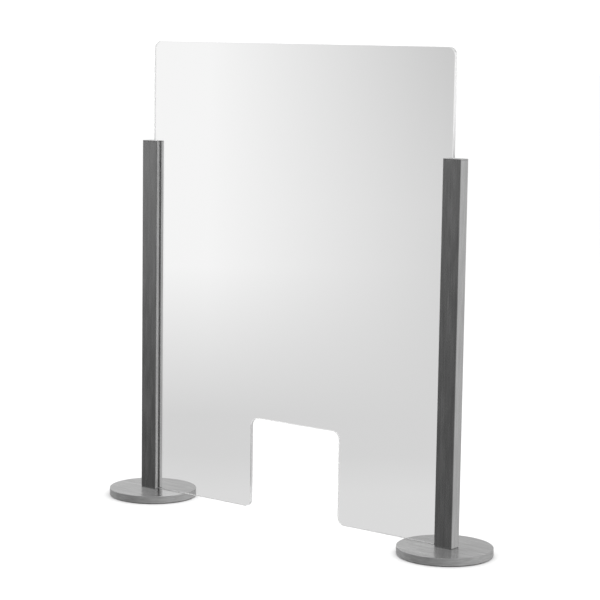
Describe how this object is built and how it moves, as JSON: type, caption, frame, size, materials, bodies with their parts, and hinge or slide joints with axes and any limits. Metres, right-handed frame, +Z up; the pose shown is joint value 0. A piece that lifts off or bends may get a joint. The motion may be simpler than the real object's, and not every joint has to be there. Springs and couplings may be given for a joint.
{
  "type": "sneeze guard",
  "caption": "Freestanding clear guard panel with a pass-through cut-out, held by its side edges in slotted steel posts on round weighted bases.",
  "frame": {"origin": "on the counter, midway between the two posts", "axes": "+Z up, +X along the panel from the left stand to the right stand, +Y across the panel"},
  "size_m": [0.76, 0.15, 0.7755],
  "materials": {
    "clear_acrylic": "gloss",
    "post_steel": "satin",
    "base_steel": "satin",
    "inner_steel": "satin",
    "screw_steel": "satin",
    "liner_plastic": "matte",
    "pad_rubber": "matte"
  },
  "bodies": {
    "left_stand": {"left_base_pad": "pad_rubber", "left_base_plate": "base_steel", "left_base_screws": "screw_steel", "left_foot_block": "inner_steel", "left_post": "post_steel", "left_slot_channel": "inner_steel", "left_slot_liner": "liner_plastic", "left_post_cap": "post_steel"},
    "panel": {"acrylic_panel": "clear_acrylic"},
    "right_stand": {"right_base_pad": "pad_rubber", "right_base_plate": "base_steel", "right_base_screws": "screw_steel", "right_foot_block": "inner_steel", "right_post": "post_steel", "right_slot_channel": "inner_steel", "right_slot_liner": "liner_plastic", "right_post_cap": "post_steel"}
  },
  "joints": [
    {"name": "panel_lift", "type": "slide", "parent": "left_stand", "child": "panel", "axis": [0, 0, 1], "range_m": [0, 0.61]},
    {"name": "right_stand_slide", "type": "slide", "parent": "left_stand", "child": "right_stand", "axis": [1, 0, 0], "range_m": [0, 0.06]}
  ]
}
